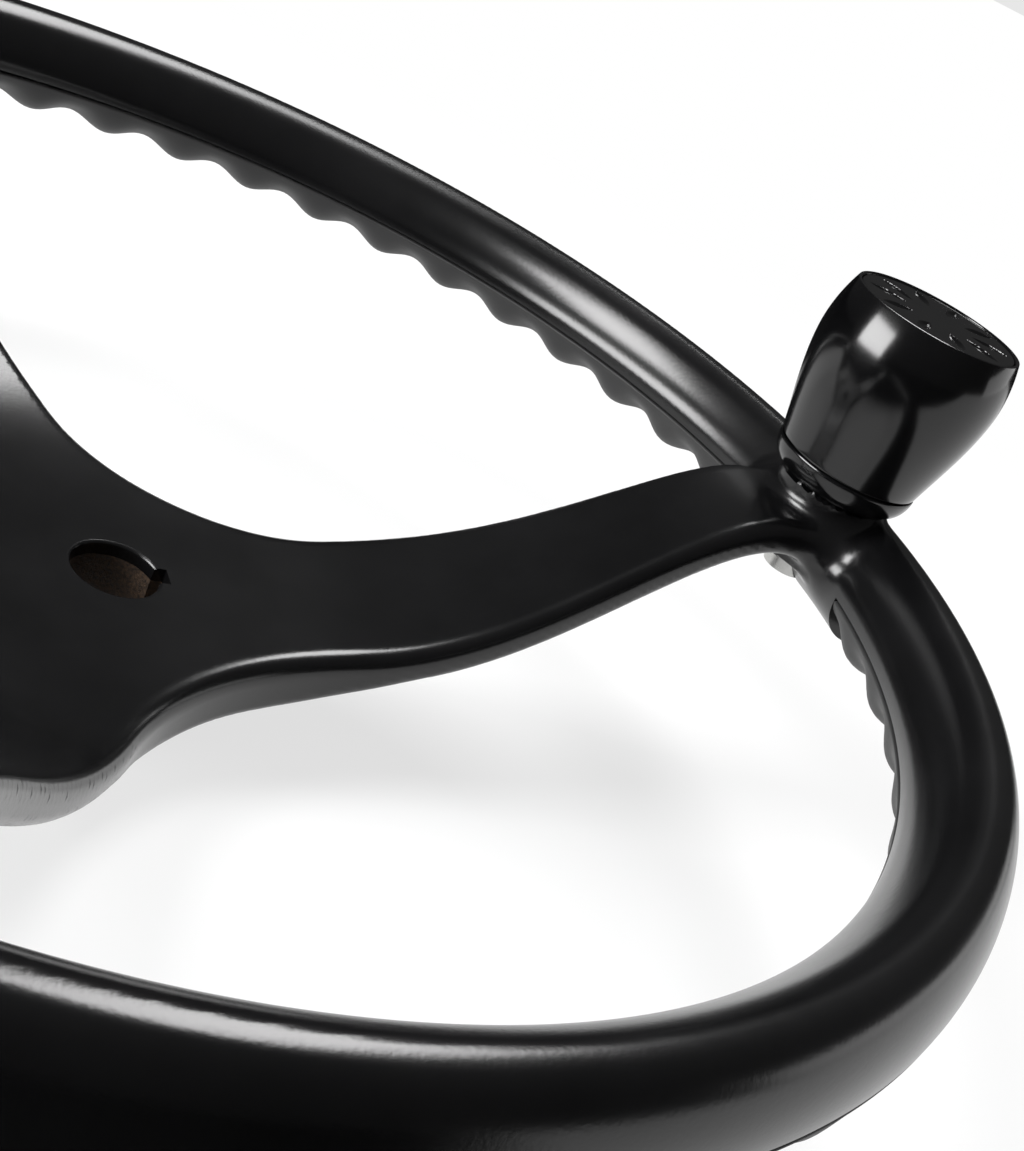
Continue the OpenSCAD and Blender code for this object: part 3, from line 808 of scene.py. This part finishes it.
# %% Floor
FLOOR_GLOW = 0.72
SHADE_NEAR, SHADE_FAR = 0.26, 0.60
# Two lines on the floor past which it is painted near black in mirror rays: a painted dark reflection.
PAINTED_DARK_NEAR_EDGE = ((0.857, 0.515, 0.0), -0.077)
PAINTED_DARK_FAR_EDGE = ((0.0, -1.0, 0.0), -0.27)
PAINTED_DARK_FADE = 0.04


def ramp(nodes, links, source, low, high, to_low=0.0, to_high=1.0):
    """A smooth step from one value to another as the source goes from low to high."""
    step = nodes.new("ShaderNodeMapRange")
    step.interpolation_type = "SMOOTHSTEP"
    step.inputs["From Min"].default_value = low
    step.inputs["From Max"].default_value = high
    step.inputs["To Min"].default_value = to_low
    step.inputs["To Max"].default_value = to_high
    links.new(source, step.inputs["Value"])
    return step.outputs["Result"]


def combine(nodes, links, operation, a, b):
    node = nodes.new("ShaderNodeMath")
    node.operation = operation
    links.new(a, node.inputs[0])
    links.new(b, node.inputs[1])
    return node.outputs[0]


def build_floor():
    """A pale floor with the wheel's soft shadow. Past two edges it is painted near black in mirror rays only: a
    painted dark reflection.
    """
    size = 6.0
    mesh = bpy.data.meshes.new("floor")
    mesh.from_pydata([(-size, -size, 0), (size, -size, 0), (size, size, 0), (-size, size, 0)], [], [(0, 1, 2, 3)])
    floor = bpy.data.objects.new("floor", mesh)
    bpy.context.collection.objects.link(floor)
    floor.location.z = CAD_BOX[0].z - 0.002
    material = bpy.data.materials.new("pale_floor")
    material.use_nodes = True
    nodes, links = material.node_tree.nodes, material.node_tree.links
    shader = nodes["Principled BSDF"]
    shader.inputs["Base Color"].default_value = (0.9, 0.9, 0.9, 1)
    shader.inputs["Roughness"].default_value = 0.8
    shader.inputs["Specular IOR Level"].default_value = 0.1
    glow = nodes.new("ShaderNodeEmission")
    path = nodes.new("ShaderNodeLightPath")
    place = nodes.new("ShaderNodeTexCoord")
    away = nodes.new("ShaderNodeVectorMath")
    away.operation = "LENGTH"
    links.new(place.outputs["Object"], away.inputs[0])
    seen = combine(nodes, links, "MAXIMUM", path.outputs["Is Camera Ray"], path.outputs["Is Glossy Ray"])
    share = ramp(nodes, links, away.outputs["Value"], SHADE_NEAR, SHADE_FAR, FLOOR_GLOW, 1.0)
    mix = nodes.new("ShaderNodeMixShader")
    links.new(combine(nodes, links, "MULTIPLY", seen, share), mix.inputs[0])
    links.new(shader.outputs[0], mix.inputs[1])
    links.new(glow.outputs[0], mix.inputs[2])
    # Painted dark reflection: past the two lines the floor turns to a near-black diffuse in mirror rays only,
    # while the camera still sees it pale.
    painted_dark_sides = []
    for direction, offset in (PAINTED_DARK_NEAR_EDGE, PAINTED_DARK_FAR_EDGE):
        dot = nodes.new("ShaderNodeVectorMath")
        dot.operation = "DOT_PRODUCT"
        dot.inputs[1].default_value = direction
        links.new(place.outputs["Object"], dot.inputs[0])
        painted_dark_sides.append(ramp(nodes, links, dot.outputs["Value"], offset - PAINTED_DARK_FADE, offset + PAINTED_DARK_FADE, 1.0, 0.0))
    painted_dark_mask = combine(nodes, links, "MAXIMUM", painted_dark_sides[0], painted_dark_sides[1])
    dark = nodes.new("ShaderNodeBsdfDiffuse")
    dark.inputs["Color"].default_value = (0.01, 0.01, 0.01, 1)
    painted_dark_mix = nodes.new("ShaderNodeMixShader")
    links.new(combine(nodes, links, "MULTIPLY", painted_dark_mask, path.outputs["Is Glossy Ray"]), painted_dark_mix.inputs[0])
    links.new(mix.outputs[0], painted_dark_mix.inputs[1])
    links.new(dark.outputs[0], painted_dark_mix.inputs[2])
    links.new(painted_dark_mix.outputs[0], nodes["Material Output"].inputs["Surface"])
    mesh.materials.append(material)
    return floor


build_floor()


# %% World and lamps
def build_world():
    world = bpy.data.worlds.new("studio")
    bpy.context.scene.world = world
    world.use_nodes = True
    nodes, links = world.node_tree.nodes, world.node_tree.links
    nodes.clear()
    path = nodes.new("ShaderNodeLightPath")
    place = nodes.new("ShaderNodeTexCoord")
    split = nodes.new("ShaderNodeSeparateXYZ")
    links.new(place.outputs["Generated"], split.inputs[0])
    fade = nodes.new("ShaderNodeMapRange")
    fade.inputs["From Min"].default_value = 0.0
    fade.inputs["From Max"].default_value = 0.9
    fade.inputs["To Min"].default_value = 0.05
    fade.inputs["To Max"].default_value = 0.13
    links.new(split.outputs["Z"], fade.inputs["Value"])
    room = nodes.new("ShaderNodeBackground")
    links.new(fade.outputs["Result"], room.inputs["Strength"])
    white = nodes.new("ShaderNodeBackground")
    mix = nodes.new("ShaderNodeMixShader")
    links.new(path.outputs["Is Camera Ray"], mix.inputs[0])
    links.new(room.outputs[0], mix.inputs[1])
    links.new(white.outputs[0], mix.inputs[2])
    out = nodes.new("ShaderNodeOutputWorld")
    links.new(mix.outputs[0], out.inputs["Surface"])


def softbox(name, azimuth, elevation, distance, size, glow, aim=(0.0, 0.0, 0.06)):
    """A rectangular lamp facing its aim, glow times as bright as white. Azimuth 0 is +X and 90 is +Y."""
    a, e = math.radians(azimuth), math.radians(elevation)
    at = Vector((math.cos(a) * math.cos(e), math.sin(a) * math.cos(e), math.sin(e))) * distance
    data = bpy.data.lights.new(name, "AREA")
    data.shape = "RECTANGLE"
    data.size, data.size_y = size
    data.energy = glow * math.pi * size[0] * size[1]
    lamp = bpy.data.objects.new(name, data)
    bpy.context.collection.objects.link(lamp)
    lamp.location = at + Vector(aim)
    lamp.rotation_mode = "QUATERNION"
    lamp.rotation_quaternion = at.to_track_quat("Z", "Y")
    lamp.visible_camera = False
    return lamp


build_world()
softbox("back_box", 45, 61, 1.5, (0.5, 0.8), 14)
softbox("left_box", 170, 49, 1.5, (0.56, 0.54), 19)
softbox("low_box", 175, 6, 0.6, (0.38, 0.20), 17, aim=(0.149, 0.0, 0.105))
softbox("right_card", -10, 5, 1.4, (1.2, 0.2), 1.3)

# %% Camera
CAMERA_AZIMUTH, CAMERA_ELEVATION, CAMERA_DISTANCE = -111.42, 24.99, 292.42
AIM_PAN, AIM_TILT, AIM_ROLL = -0.2283, 0.0329, 0.3842
LENS = 49.79


def build_camera():
    a, e = math.radians(CAMERA_AZIMUTH), math.radians(CAMERA_ELEVATION)
    centre = Vector((0, 0, RIM_Z * MM))
    out = Vector((math.cos(a) * math.cos(e), math.sin(a) * math.cos(e), math.sin(e)))
    right = (-out).cross(Vector((0, 0, 1))).normalized()
    up = right.cross(-out)
    plain = Matrix((right, -up, -out))
    turn = (Matrix.Rotation(AIM_ROLL, 3, "Z") @ Matrix.Rotation(AIM_PAN, 3, "Y")
            @ Matrix.Rotation(AIM_TILT, 3, "X"))
    rows = turn @ plain
    data = bpy.data.cameras.new("camera")
    data.lens = LENS
    data.sensor_width = 36.0
    data.clip_start, data.clip_end = 0.01, 30
    camera = bpy.data.objects.new("camera", data)
    bpy.context.collection.objects.link(camera)
    basis = Matrix((rows[0], -rows[1], -rows[2])).transposed()
    camera.matrix_world = Matrix.Translation(centre + out * CAMERA_DISTANCE * MM) @ basis.to_4x4()
    bpy.context.scene.camera = camera
    return camera


camera = build_camera()
bpy.context.scene.view_settings.view_transform = "Standard"
